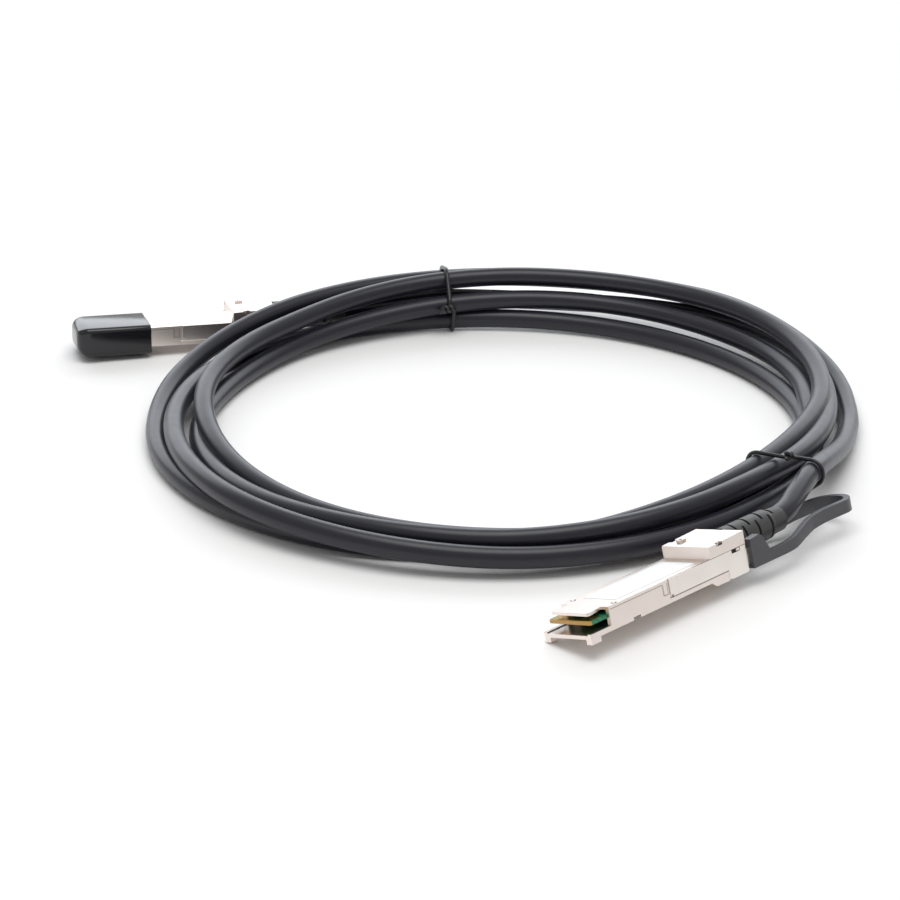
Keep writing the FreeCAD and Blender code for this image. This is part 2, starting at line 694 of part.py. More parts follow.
def twist_tie(angle, extra, tail_lean):
    """A wire loop round all the strands at one place, closed by a twisted pair of tails on top."""
    circles = strands(angle) + extra
    outer = [coil_point(angle, r, z) for r, z in belt(circles, CABLE_R + TIE_GAP + TIE_D)]
    inner = [coil_point(angle, r, z) for r, z in belt(circles, CABLE_R + TIE_GAP)]
    along = coil_point(angle + 90, 1, 0) - coil_point(angle + 90, 0, 0)
    ring = Part.Face(Part.makePolygon(outer + outer[:1])).cut(Part.Face(Part.makePolygon(inner + inner[:1])))
    ring.translate(along * (-TIE_D / 2))
    band = ring.extrude(along * TIE_D)
    top = max(circles, key=lambda circle: circle[1])
    root = coil_point(angle, top[0] + tail_lean, top[1] + CABLE_R + TIE_GAP + TIE_D / 2)
    tails = Part.makeCylinder(TIE_D * 0.75, TAIL_L, root, along + Vector(0, 0, 0.06))
    return band.fuse(tails)


def front_tie():
    """The tie beside the near module, round the coil and the near lead."""
    return twist_tie(FRONT_TIE_ANGLE, [NEAR_LEAD_AT_TIE], 2.0)


def back_tie():
    """The tie at the far side of the coil."""
    return twist_tie(BACK_TIE_ANGLE, [], -1.0)


def placement(pose):
    """Turn a module's pose into a placement."""
    point, heading, pitch, roll = pose
    turn = Rotation(Vector(0, 0, 1), heading).multiply(Rotation(Vector(0, 1, 0), pitch))
    nose = Vector(point[0] + COIL_CENTRE[0], point[1] + COIL_CENTRE[1], point[2])
    return Placement(nose, turn.multiply(Rotation(Vector(1, 0, 0), roll)))


NEAR = placement(NEAR_POSE)
FAR = placement(FAR_POSE)

MODULE_NODES = {
    "lower_shell": lower_shell,
    "upper_shell": upper_shell,
    "paddle_card": paddle_card,
    "card_contacts": card_contacts,
    "solder_potting": solder_potting,
    "wire_pairs": wire_pairs,
    "shield_bundle": shield_bundle,
    "crimp_ferrule": crimp_ferrule,
    "identity_label": identity_label,
    "latch_slider": latch_slider,
    "latch_springs": latch_springs,
    "pull_tab": pull_tab,
    "strain_relief": strain_relief,
}


def save(name, shape):
    """Write one named piece, and report its size."""
    shape.exportStep("parts/%s.step" % name)
    b = shape.BoundBox
    print("%-22s solids %2d valid %s vol %8.1f" % (name, len(shape.Solids), shape.isValid(), shape.Volume),
          "x %7.1f %7.1f  y %7.1f %7.1f  z %6.2f %6.2f" % (b.XMin, b.XMax, b.YMin, b.YMax, b.ZMin, b.ZMax))


def main():
    """Build every piece and write its file."""
    os.makedirs("parts", exist_ok=True)
    for piece, build in MODULE_NODES.items():
        shape = build()
        for end, place in (("near", NEAR), ("far", FAR)):
            copy = shape.copy()
            copy.Placement = place
            save("%s_%s" % (end, piece), copy)
    cap = dust_cap()
    cap.Placement = FAR
    save("far_dust_cap", cap)
    for build in (cable_coil, near_lead, far_lead, front_tie, back_tie):
        save(build.__name__, build())


main()
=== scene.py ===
import json
import logging
import math
from dataclasses import dataclass, field
from enum import Enum
from typing import Any, Callable, Iterable, Sequence

import bmesh
import bpy
from mathutils import Matrix, Vector

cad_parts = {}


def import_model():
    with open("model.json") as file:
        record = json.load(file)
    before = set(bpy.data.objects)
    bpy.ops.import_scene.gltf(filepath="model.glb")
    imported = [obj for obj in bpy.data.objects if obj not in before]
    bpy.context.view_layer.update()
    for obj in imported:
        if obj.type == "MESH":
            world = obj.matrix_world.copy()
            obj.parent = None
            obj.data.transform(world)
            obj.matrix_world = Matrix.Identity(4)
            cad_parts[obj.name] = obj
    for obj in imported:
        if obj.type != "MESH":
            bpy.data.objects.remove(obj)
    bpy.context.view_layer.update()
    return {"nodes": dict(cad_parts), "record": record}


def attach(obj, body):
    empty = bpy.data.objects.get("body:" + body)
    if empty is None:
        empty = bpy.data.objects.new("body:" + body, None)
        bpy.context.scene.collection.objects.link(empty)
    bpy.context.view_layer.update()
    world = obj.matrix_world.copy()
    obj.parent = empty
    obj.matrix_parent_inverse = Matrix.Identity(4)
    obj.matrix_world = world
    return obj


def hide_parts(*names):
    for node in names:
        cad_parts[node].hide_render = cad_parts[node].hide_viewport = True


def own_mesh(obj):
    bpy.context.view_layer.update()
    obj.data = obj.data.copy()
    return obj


# Direct attach copper cable: how its two modules, its coil of cable, its ties and its dust cap look.
# Lengths in the classes are millimetres, and MM brings them to the metres of the scene.

MM = 0.001
MERGE_DISTANCE = 2e-6    # metres: corners nearer than this are one corner
FLAT_ANGLE = 1.0         # degrees: faces that turn by less are one face
EASED_ANGLE = 38.0       # degrees: edges that turn by more are rounded
CREASE_ANGLE = 35.0      # degrees: edges that turn by more stay sharp in the shading
log = logging.getLogger("direct_attach_cable")

Colour = tuple[float, float, float]
Point = tuple[float, float, float]
Pair = tuple[float, float]
Number = Any             # a number, a colour or a Value


class End(Enum):
    """The two ends of the cable."""

    NEAR = "near"
    FAR = "far"


class Side(Enum):
    """The two sides of a module, and which way across it each one lies."""

    LEFT = 1
    RIGHT = -1


class Body(Enum):
    """The parts of the cable that move as one."""

    ROOT = "root"
    NEAR_LATCH = "near_latch"
    FAR_LATCH = "far_latch"
    FAR_CAP = "far_cap"

    @classmethod
    def latch(cls, end: End) -> "Body":
        """The latch body of one module."""
        return cls(f"{end.value}_latch")


# ---- shader maths ----

class Value:
    """A number that varies over a surface, written in ordinary sums."""

    def __init__(self, graph: "Graph", socket: bpy.types.NodeSocket | None) -> None:
        """Keep the socket and the graph that it belongs to."""
        self.graph = graph
        self.socket = socket

    def _math(self, operation: str, *operands: Number) -> "Value":
        """The result of one Math node, on numbers or values in the node's order."""
        return self.graph.node("ShaderNodeMath", {"operation": operation}, dict(enumerate(operands)))

    def __add__(self, other: Number) -> "Value":
        """self + other."""
        return self._math("ADD", self, other)

    def __radd__(self, other: Number) -> "Value":
        """other + self."""
        return self._math("ADD", other, self)

    def __sub__(self, other: Number) -> "Value":
        """self - other."""
        return self._math("SUBTRACT", self, other)

    def __rsub__(self, other: Number) -> "Value":
        """other - self."""
        return self._math("SUBTRACT", other, self)

    def __mul__(self, other: Number) -> "Value":
        """self * other."""
        return self._math("MULTIPLY", self, other)

    def __rmul__(self, other: Number) -> "Value":
        """other * self."""
        return self._math("MULTIPLY", other, self)

    def __gt__(self, other: Number) -> "Value":
        """1 where self is above other, and 0 elsewhere."""
        return self._math("GREATER_THAN", self, other)


class Graph:
    """The nodes of one material."""

    def __init__(self, name: str) -> None:
        """Start an empty material.

        Args:
            name: the material's name.
        """
        self.material = bpy.data.materials.new(name)
        self.material.use_nodes = True
        self.tree = self.material.node_tree
        self.tree.nodes.clear()

    def node(self, kind: str, settings: dict[str, Any], inputs: dict[Any, Number], output: Any = 0) -> Value:
        """Add one node of any kind.

        Args:
            kind: the node's type.
            settings: its properties, which are set first.
            inputs: numbers, colours or values for its sockets, by name or number.
            output: the socket that is wanted from it.

        Returns:
            The wanted output.
        """
        made = self.tree.nodes.new(kind)
        for key, value in settings.items():
            setattr(made, key, value)
        for key, value in inputs.items():
            self._feed(made.inputs[key], value)
        return Value(self, made.outputs[output] if made.outputs else None)

    def _feed(self, socket: bpy.types.NodeSocket, value: Number) -> None:
        """Link a value to a socket, or set a number or colour on it.

        Args:
            socket: the input.
            value: a Value, a number or a colour.
        """
        if isinstance(value, Value):
            self.tree.links.new(value.socket, socket)
        elif isinstance(value, tuple) and len(value) == 3 and socket.type == "RGBA":
            socket.default_value = (*value, 1.0)
        else:
            socket.default_value = value

    def place(self) -> Value:
        """The point on the surface, in metres, in the frame of the whole cable."""
        return self.node("ShaderNodeTexCoord", {}, {}, "Object")

    def noise(self, grain: float, detail: float = 3.0, stretch: Point = (1.0, 1.0, 1.0)) -> Value:
        """A soft random pattern.

        Args:
            grain: the size of its features, in millimetres.
            detail: how many finer octaves it has.
            stretch: how much longer its features are along x, y and z.

        Returns:
            Its strength, from 0 to 1.
        """
        scale = tuple(1.0 / (grain * MM * s) for s in stretch)
        at = self.node("ShaderNodeMapping", {}, {"Vector": self.place(), "Scale": scale})
        return self.node("ShaderNodeTexNoise", {}, {"Vector": at, "Scale": 1.0, "Detail": detail})

    def mix(self, factor: Number, first: Number, second: Number) -> Value:
        """A blend of two colours, by a factor that is 0 for the first and 1 for the second."""
        return self.node("ShaderNodeMix", {"data_type": "RGBA"}, {0: factor, 6: first, 7: second}, 2)

    def bump(self, height: Value, depth: float, under: Value | None = None) -> Value:
        """Turn a height pattern into a surface normal.

        Args:
            height: the pattern, from 0 to 1.
            depth: how far 1 stands above 0, in millimetres.
            under: a coarser bump that this one lies on.

        Returns:
            The normal.
        """
        inputs: dict[str, Number] = {"Height": height, "Distance": depth * MM, "Strength": 1.0}
        if under is not None:
            inputs["Normal"] = under
        return self.node("ShaderNodeBump", {}, inputs)

    def surface(self, inputs: dict[str, Number]) -> bpy.types.Material:
        """Close the material with one shader.

        Args:
            inputs: the shader's sockets.

        Returns:
            The finished material.
        """
        shader = self.node("ShaderNodeBsdfPrincipled", {}, inputs, "BSDF")
        self.node("ShaderNodeOutputMaterial", {}, {"Surface": shader})
        return self.material


# ---- finishes ----

@dataclass(frozen=True)
class Finish:
    """What every finish has: the name of its material, and the slot that it belongs to."""

    name: str
    slot: str

    def paint(self, graph: Graph) -> dict[str, Number]:
        """The shader's inputs for this finish."""
        raise NotImplementedError

    def material(self) -> bpy.types.Material:
        """Make the finish's material once, and share it after that.

        Returns:
            The material.
        """
        known = bpy.data.materials.get(self.name)
        if known is not None:
            return known
        graph = Graph(self.name)
        return graph.surface(self.paint(graph))


@dataclass(frozen=True)
class Moulding(Finish):
    """Moulded or extruded polymer: jacket, tab, strain relief, cap, wire sheath and potting."""

    dark: Colour
    light: Colour
    gloss: Pair
    grain: float
    depth: float
    sheen: float = 0.0
    sheen_roughness: float = 0.4
    sheen_tint: Colour = (0.84, 0.84, 1.0)
    cloud_grain: float = 14.0
    handled_grain: float = 5.0

    def paint(self, graph: Graph) -> dict[str, Number]:
        """Mottled colour and gloss over a fine moulded grain.

        Args:
            graph: the material's nodes.

        Returns:
            The shader's inputs.
        """
        cloud = graph.noise(self.cloud_grain, detail=4.0)
        speck = graph.noise(self.grain, detail=2.0)
        handled = graph.noise(self.handled_grain, detail=5.0)
        low, high = self.gloss
        return {
            "Base Color": graph.mix(0.6 * cloud + 0.4 * speck, self.dark, self.light),
            "Roughness": low + handled * (high - low),
            "Normal": graph.bump(speck, self.depth, graph.bump(cloud, self.depth)),
            "Sheen Weight": self.sheen,
            "Sheen Roughness": self.sheen_roughness,
            "Sheen Tint": self.sheen_tint,
            "IOR": 1.5,
        }


@dataclass(frozen=True)
class Metal(Finish):
    """Plated or bare metal: castings, stamped sheet, spring wire, pads, braid foil and ferrule."""

    dark: Colour
    light: Colour
    gloss: Pair
    grain: float
    depth: float
    brushed: Point = (1.0, 1.0, 1.0)
    cloud_grain: float = 9.0
    rubbed_grain: float = 5.0

    def paint(self, graph: Graph) -> dict[str, Number]:
        """Bright metal with a faint cloud in the plating, rubbed patches and fine grain.

        Args:
            graph: the material's nodes.

        Returns:
            The shader's inputs.
        """
        cloud = graph.noise(self.cloud_grain, detail=2.0)
        rubbed = graph.noise(self.rubbed_grain, detail=2.0)
        grain = graph.noise(self.grain, stretch=self.brushed)
        low, high = self.gloss
        return {
            "Base Color": graph.mix(cloud, self.dark, self.light),
            "Metallic": 1.0,
            "Roughness": low + (0.7 * rubbed + 0.3 * grain) * (high - low),
            "Normal": graph.bump(grain, self.depth),
        }


@dataclass(frozen=True)
class SolderMask(Finish):
    """Green board with faint traces under the mask."""

    green: Colour = (0.012, 0.16, 0.075)
    trace: Colour = (0.03, 0.24, 0.12)
    band_size: float = 4.8
    cloud_grain: float = 2.0
    depth: float = 0.01

    def paint(self, graph: Graph) -> dict[str, Number]:
        """Fine parallel traces in a glossy mask.

        Args:
            graph: the material's nodes.

        Returns:
            The shader's inputs.
        """
        bands = graph.node("ShaderNodeTexWave", {"bands_direction": "DIAGONAL"},
                           {"Vector": graph.place(), "Scale": 1 / (self.band_size * MM), "Distortion": 1.5})
        cloud = graph.noise(self.cloud_grain, detail=4.0)
        shown = 0.5 * (bands > 0.5) + 0.4 * cloud
        return {
            "Base Color": graph.mix(1 - shown, self.trace, self.green),
            "Roughness": 0.2 + 0.15 * cloud,
            "Normal": graph.bump(bands, self.depth),
        }


@dataclass(frozen=True)
class PaperLabel(Finish):
    """Blank satin label with a faint fibre."""

    white: Colour = (0.86, 0.87, 0.88)
    shade: Colour = (0.78, 0.80, 0.82)
    fibre_grain: float = 0.3
    cloud_grain: float = 6.0
    depth: float = 0.004

    def paint(self, graph: Graph) -> dict[str, Number]:
        """White film, a little uneven.

        Args:
            graph: the material's nodes.

        Returns:
            The shader's inputs.
        """
        fibre = graph.noise(self.fibre_grain)
        cloud = graph.noise(self.cloud_grain)
        return {
            "Base Color": graph.mix(0.7 * cloud + 0.3 * fibre, self.shade, self.white),
            "Roughness": 0.3 + 0.12 * cloud,
            "Normal": graph.bump(fibre, self.depth),
        }


@dataclass(frozen=True)
class Sweep(Finish):
    """Pale paper under the cable."""

    white: Colour = (0.93, 0.925, 0.92)
    shade: Colour = (0.915, 0.91, 0.90)
    cloud_grain: float = 120.0

    def paint(self, graph: Graph) -> dict[str, Number]:
        """Almost even white, with a faint cloud."""
        cloud = graph.noise(self.cloud_grain)
        return {"Base Color": graph.mix(cloud, self.shade, self.white), "Roughness": 0.6 + 0.1 * cloud}


JACKET = Moulding("cable jacket", "cable_jacket", dark=(0.006, 0.006, 0.010), light=(0.012, 0.012, 0.021),
                  gloss=(0.3, 0.4), grain=0.35, depth=0.004, sheen=0.1)
TAB = Moulding("tab moulding", "tab_moulding", dark=(0.052, 0.052, 0.058), light=(0.07, 0.07, 0.077),
               gloss=(0.38, 0.5), grain=0.25, depth=0.008)
RELIEF = Moulding("relief moulding", "relief_moulding", dark=(0.036, 0.037, 0.035),
                  light=(0.056, 0.057, 0.054), gloss=(0.4, 0.52), grain=0.25, depth=0.01)
CAP = Moulding("cap moulding", "cap_moulding", dark=(0.006, 0.006, 0.008), light=(0.012, 0.012, 0.015),
               gloss=(0.08, 0.16), grain=1.2, depth=0.006)
WIRE_SHEATH = Moulding("tie sheath", "tie_wire", dark=(0.008, 0.008, 0.01), light=(0.016, 0.016, 0.018),
                       gloss=(0.26, 0.4), grain=0.4, depth=0.01)
LAMINATE = Moulding("bare laminate", "board", dark=(0.48, 0.26, 0.06), light=(0.62, 0.37, 0.10),
                    gloss=(0.3, 0.45), grain=0.3, depth=0.006)
# Near-black sheet: painted shade in the stakes' rings, the clip's hole, the pocket and the windows, and the
# dark joint lines of the cover's seams.
SHADE_AND_JOINT_LINING = Moulding("painted shade and joint lines", "nickel_shell", dark=(0.006, 0.005, 0.004), light=(0.018, 0.015, 0.012),
                  gloss=(0.4, 0.6), grain=0.3, depth=0.004)
POTTING = Moulding("potting resin", "potting", dark=(0.03, 0.03, 0.028), light=(0.06, 0.058, 0.052),
                   gloss=(0.2, 0.35), grain=0.8, depth=0.02)
PAIR_SHEATH = Moulding("pair sheath", "pair_jacket", dark=(0.42, 0.40, 0.38), light=(0.56, 0.54, 0.52),
                       gloss=(0.3, 0.45), grain=0.5, depth=0.01)
NICKEL = Metal("satin nickel", "nickel_shell", dark=(0.84, 0.75, 0.69), light=(0.91, 0.825, 0.77),
               gloss=(0.26, 0.34), grain=0.18, depth=0.0003)
SHEET = Metal("rolled sheet", "steel_sheet", dark=(0.85, 0.785, 0.735), light=(0.93, 0.87, 0.825),
              gloss=(0.22, 0.28), grain=0.15, depth=0.0003, brushed=(1.0, 1.0, 6.0))
GOLD = Metal("plated pads", "gold", dark=(0.83, 0.52, 0.16), light=(0.95, 0.68, 0.28),
             gloss=(0.2, 0.32), grain=0.1, depth=0.002)
BRAID = Metal("foil and braid", "braid", dark=(0.6, 0.59, 0.57), light=(0.82, 0.81, 0.79),
              gloss=(0.3, 0.5), grain=0.35, depth=0.06)
FERRULE = Metal("crimped sleeve", "ferrule", dark=(0.66, 0.6, 0.5), light=(0.8, 0.75, 0.66),
                gloss=(0.22, 0.36), grain=0.2, depth=0.005)
BOARD = SolderMask("solder mask", "board")
LABEL = PaperLabel("blank label", "label")
PAPER = Sweep("studio paper", "")

# What each piece of a module is finished in, and how far its edges are rounded: 0 leaves them as they are.
MODULE_FINISH: dict[str, tuple[Finish, float]] = {
    "lower_shell": (NICKEL, 0.12),
    "upper_shell": (NICKEL, 0.1),
    "latch_slider": (SHEET, 0.06),
    "pull_tab": (TAB, 0.35),
    "strain_relief": (RELIEF, 0.1),
    "paddle_card": (BOARD, 0.0),
    "card_contacts": (GOLD, 0.0),
    "solder_potting": (POTTING, 0.0),
    "wire_pairs": (PAIR_SHEATH, 0.0),
    "shield_bundle": (BRAID, 0.0),
    "crimp_ferrule": (FERRULE, 0.0),
    "identity_label": (LABEL, 0.0),
    "latch_springs": (SHEET, 0.0),
}
MOVING_PIECES = ("latch_slider", "pull_tab")


# ---- making and dressing pieces ----

def dress(piece: bpy.types.Object, finish: Finish) -> bpy.types.Object:
    """Give a piece its finish.

    Args:
        piece: the piece, with or without material slots.
        finish: the finish.

    Returns:
        The piece.
    """
    if not piece.material_slots:
        piece.data.materials.append(finish.material())
    for slot in piece.material_slots:
        slot.material = finish.material()
    return piece


def add_piece(name: str, data: bpy.types.ID, finish: Finish, body: Body) -> bpy.types.Object:
    """Put a mesh or curve in the scene, on a body.

    Args:
        name: the piece's name.
        data: its mesh or curve.
        finish: its finish.
        body: the body that it moves with.

    Returns:
        The piece.
    """
    piece = bpy.data.objects.new(name, data)
    bpy.context.scene.collection.objects.link(piece)
    dress(piece, finish)
    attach(piece, body.value)
    return piece


def smooth(mesh: bpy.types.Mesh, crease: float = CREASE_ANGLE) -> None:
    """Shade a mesh smoothly, apart from edges that turn by more than the crease angle, in degrees."""
    mesh.shade_smooth()
    mesh.set_sharp_from_angle(angle=math.radians(crease))


def round_edges(piece: bpy.types.Object, width: float, segments: int) -> bpy.types.Modifier:
    """Round the edges of a piece.

    Args:
        piece: the piece.
        width: how far, in millimetres.
        segments: how many faces round each edge.

    Returns:
        The modifier that rounds them.
    """
    bevel = piece.modifiers.new("edges", "BEVEL")
    bevel.width = width * MM
    bevel.segments = segments
    return bevel


def mesh_of(name: str, points: Iterable[Vector], faces: Iterable[Sequence[int]],
            place: Matrix) -> bpy.types.Mesh:
    """Make a mesh from points in a module's own axes.

    Args:
        name: the mesh's name.
        points: the points, in millimetres.
        faces: the corners of each face.
        place: where the module lies.

    Returns:
        The mesh, with its faces turned outwards.
    """
    mesh = bpy.data.meshes.new(name)
    mesh.from_pydata([place @ point for point in points], [], list(faces))
    work = bmesh.new()
    work.from_mesh(mesh)
    bmesh.ops.recalc_face_normals(work, faces=work.faces)
    work.to_mesh(mesh)
    work.free()
    return mesh


def eased_copy(node: str, width: float, finish: Finish, body: Body, nodes: dict[str, bpy.types.Object],
               reshape: Callable[[bmesh.types.BMesh], None] | None = None) -> bpy.types.Object:
    """Stand for a hard-edged piece with one whose edges are rounded as the real ones are.

    Args:
        node: the piece's node.
        width: how far the edges are rounded, in millimetres.
        finish: its finish.
        body: the body that it moves with.
        nodes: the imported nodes.
        reshape: a change to the new piece's mesh.

    Returns:
        The new piece.
    """
    work = bmesh.new()
    work.from_mesh(nodes[node].data)
    bmesh.ops.remove_doubles(work, verts=work.verts, dist=MERGE_DISTANCE)
    bmesh.ops.dissolve_limit(work, angle_limit=math.radians(FLAT_ANGLE), verts=work.verts, edges=work.edges)
    if reshape is not None:
        reshape(work)
    mesh = bpy.data.meshes.new(f"{node}_eased")
    work.to_mesh(mesh)
    work.free()
    smooth(mesh)
    piece = add_piece(f"{node}_eased", mesh, finish, body)
    bevel = round_edges(piece, width, 3)
    bevel.limit_method = "ANGLE"
    bevel.angle_limit = math.radians(EASED_ANGLE)
    bevel.use_clamp_overlap = True
    normals = piece.modifiers.new("normals", "WEIGHTED_NORMAL")
    normals.keep_sharp = False
    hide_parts(node)
    return piece


def open_line(name: str, points: Sequence[Vector], diameter: float, order: int,
              steps: int) -> bpy.types.Curve:
    """Make a smooth open curve that follows some points.

    Args:
        name: the curve's name.
        points: its control points.
        diameter: the diameter that its points carry, in millimetres.
        order: how softly it follows them.
        steps: how many stretches there are from one point to the next.

    Returns:
        The curve, which has no section yet.
    """
    curve = bpy.data.curves.new(name, "CURVE")
    curve.dimensions = "3D"
    spline = curve.splines.new("NURBS")
    spline.points.add(len(points) - 1)
    for point, at in zip(spline.points, points):
        point.co = (*at, 1.0)
        point.radius = diameter / 2 * MM
    spline.order_u = order
    spline.use_endpoint_u = True
    spline.resolution_u = steps
    return curve


def fill_out(curve: bpy.types.Curve, roundness: int) -> None:
    """Give a curve a round section of the diameter that its points carry.

    Args:
        curve: the curve.
        roundness: how finely the section is divided.
    """
    curve.bevel_depth = 1.0
    curve.bevel_resolution = roundness
    curve.use_fill_caps = True


# ---- modules ----

@dataclass
class Module:
    """One pluggable module, with its latch, pull tab and strain relief.

    Its own axes start at the nose, and run back to the cable (x), across to the left (y) and up (z).
    """

    end: End
    record: dict[str, Any]
    nodes: dict[str, bpy.types.Object]
    cage_height: float = 4.25
    cable_height: float = 8.2
    ramp_foot: Pair = (51.3, 53.2)
    ramp_shift: float = 2.3
    spring_end: float = 57.6
    spring_length: float = 9.2
    latch_travel: float = 2.0
    place: Matrix = field(init=False)

    def __post_init__(self) -> None:
        """Find where the module lies from its mounts."""
        mounts = {mount["name"]: mount for mount in self.record["mounts"]}
        slide = mounts[f"{self.end.value}_cage_slide"]
        along = -Vector(slide["axis"]).normalized()
        up = -Vector(mounts[f"{self.end.value}_underside"]["axis"]).normalized()
        across = up.cross(along).normalized()
        nose = Vector(slide["pos_m"]) - up * self.cage_height * MM
        turn = Matrix((along, across, up)).transposed().to_4x4()
        self.place = Matrix.Translation(nose) @ turn @ Matrix.Scale(MM, 4)

    def at(self, x: float, y: float, z: float) -> Vector:
        """A point of the module's own axes, in the frame of the whole cable."""
        return self.place @ Vector((x, y, z))

    def body_of(self, piece: str) -> Body:
        """The body that one of the module's pieces moves with."""
        return Body.latch(self.end) if piece in MOVING_PIECES else Body.ROOT

    def steepen_hood(self, work: bmesh.types.BMesh) -> None:
        """Draw the foot of the hood's front back, so that the front stands almost upright.

        Args:
            work: the cover's mesh.
        """
        inverse = self.place.inverted()
        low, high = self.ramp_foot
        along = self.place.to_3x3() @ Vector((self.ramp_shift, 0, 0))
        for vertex in work.verts:
            if low < (inverse @ vertex.co).x < high:
                vertex.co += along

    def springs(self, node: str, finish: Finish) -> None:
        """Give the latch's return springs their finish, on a copy of their mesh.

        Args:
            node: the springs' node.
            finish: their finish.
        """
        piece = add_piece(f"{node}_wound", self.nodes[node].data.copy(), finish, Body.ROOT)
        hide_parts(node)
        along, anchor = self.at(1, 0, 0) - self.at(0, 0, 0), self.at(self.spring_end, 0, 0)
        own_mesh(piece)

    def build(self) -> None:
        """Finish every piece of the module."""
        for piece, (finish, ease) in MODULE_FINISH.items():
            node = f"{self.end.value}_{piece}"
            if ease:
                reshape = self.steepen_hood if piece == "upper_shell" else None
                eased_copy(node, ease, finish, self.body_of(piece), self.nodes, reshape)
            elif piece == "latch_springs":
                self.springs(node, finish)
            else:
                dress(self.nodes[node], finish)
            log.info("%s in %s", node, finish.name)


@dataclass
class ModuleTrim:
    """Small details of one module: card edge, stakes, hood clip, pocket, windows, seams and bend lines, with
    the shade in its holes and recesses painted on near-black plates.
    """

    module: Module
    half: float = 9.175
    top: float = 8.5
    hood_top: float = 12.6
    skin: float = 0.02
    card_half: float = 8.2
    card_x: Pair = (1.8, 2.35)
    card_z: Pair = (5.2, 6.2)
    card_chamfer: float = 0.5
    stake: Pair = (12.6, 7.95)
    stake_r: Pair = (0.85, 0.5)
    stake_depth: float = 0.3
    stake_rise: float = 0.12
    stake_ease: float = 0.06
    clip_x: Pair = (57.0, 59.8)
    clip_y: Pair = (4.2, 5.9)
    clip_depth: float = 0.4
    clip_rise: float = 0.45
    clip_ease: float = 0.15
    hole_shift: float = 0.2
    hole_r: float = 0.5
    pocket_x: Pair = (57.65, 60.15)
    pocket_y: Pair = (-9.1, -8.1)
    pocket_depth: Pair = (1.32, 1.25)
    tab_outline: tuple[Pair, ...] = ((-0.9, -8.95), (-0.5, -9.1), (0.9, -7.75), (0.5, -7.6))
    tab_depth: Pair = (1.2, 0.1)
    tab_ease: float = 0.05
    window: tuple[float, float, float, float] = (63.0, 69.4, 7.2, 8.45)
    window_depth: float = 0.7
    window_sheet: float = 0.05
    sunk: float = 0.2
    parting_z: float = 7.6
    seam: float = 0.12
    seam_rise: float = 0.01
    mouth_x: float = 9.6
    tooth_x: Pair = (31.9, 33.9)
    tooth_low: float = 4.3
    slider_half: float = 9.075
    bend_x: Pair = (38.58, 38.82)
    bend_z: Pair = (3.2, 8.2)
    bend_rise: float = 0.04
    bend_ease: float = 0.02

    def slab(self, what: str, outline: Sequence[Pair], low: float, high: float, finish: Finish,
             ease: float = 0.0, body: Body = Body.ROOT) -> bpy.types.Object:
        """Stand an upright plate on an outline in the module's own axes.

        Args:
            what: the piece's name, after the module's end.
            outline: its corners, along and across the module, in millimetres.
            low: the height of its underside.
            high: the height of its top.
            finish: its finish.
            ease: how far its edges are rounded, in millimetres.
            body: the body that it moves with.

        Returns:
            The piece.
        """
        count = len(outline)
        points = [Vector((x, y, z)) for z in (low, high) for x, y in outline]
        faces: list[Sequence[int]] = [tuple(range(count)), tuple(range(count, 2 * count))]
        faces += [(i, (i + 1) % count, count + (i + 1) % count, count + i) for i in range(count)]
        name = f"{self.module.end.value}_{what}"
        piece = add_piece(name, mesh_of(name, points, faces, self.module.place), finish, body)
        if ease:
            smooth(piece.data)
            round_edges(piece, ease, 2)
        return piece

    def oblong(self, x0: float, x1: float, y0: float, y1: float) -> list[Pair]:
        """The four corners of an oblong."""
        return [(x0, y0), (x1, y0), (x1, y1), (x0, y1)]

    def disc(self, x: float, y: float, radius: float, sides: int = 20) -> list[Pair]:
        """The corners of a round plate."""
        turns = [2 * math.pi * side / sides for side in range(sides)]
        return [(x + radius * math.cos(a), y + radius * math.sin(a)) for a in turns]

    def card_edge(self) -> None:
        """The bare laminate along the front edge of the card."""
        edge, front, back = self.card_half + self.skin, self.card_x[0] - self.skin, self.card_x[1]
        shoulder = front + self.card_chamfer
        outline = [(front, -edge + self.card_chamfer), (shoulder, -edge), (back, -edge),
                   (back, edge), (shoulder, edge), (front, edge - self.card_chamfer)]
        low, high = self.card_z
        self.slab("card_edge", outline, low - self.skin, high + self.skin, LAMINATE)

    def stakes(self) -> None:
        """The two staked posts that hold the cover down at the mouth, each in a ring of painted shade."""
        x, across = self.stake
        ring, post = self.stake_r
        low = self.top - self.stake_depth
        for side in Side:
            label, y = side.name.lower(), side.value * across
            # A near-black ring round each post paints the shade of its dent.
            self.slab(f"stake_ring_{label}", self.disc(x, y, ring), low, self.top + self.skin, SHADE_AND_JOINT_LINING)
            self.slab(f"stake_{label}", self.disc(x, y, post), low, self.top + self.stake_rise, NICKEL,
                      self.stake_ease)

    def hood_clip(self) -> None:
        """The clip on the hood, with a near-black disc of painted shade for its hole."""
        rise = self.hood_top + self.clip_rise
        self.slab("hood_clip", self.oblong(*self.clip_x, *self.clip_y), self.hood_top - self.clip_depth, rise,
                  NICKEL, self.clip_ease)
        # The hole is a near-black disc of painted shade.
        hole = self.disc(sum(self.clip_x) / 2 - self.hole_shift, sum(self.clip_y) / 2, self.hole_r)
        self.slab("clip_hole_shade", hole, self.hood_top, rise + self.skin, SHADE_AND_JOINT_LINING)

    def hood_pocket(self) -> None:
        """The pocket at the hood's edge, with its floor painted dark as shade, and its stamped tab."""
        low, high = (self.hood_top - depth for depth in self.pocket_depth)
        # A near-black plate on the pocket's floor paints the shade in the recess.
        self.slab("pocket_shade", self.oblong(*self.pocket_x, *self.pocket_y), low, high, SHADE_AND_JOINT_LINING)
        middle = sum(self.pocket_x) / 2
        tab = [(middle + x, y) for x, y in self.tab_outline]
        low, high = (self.hood_top - depth for depth in self.tab_depth)
        self.slab("pocket_tab", tab, low, high, NICKEL, self.tab_ease)

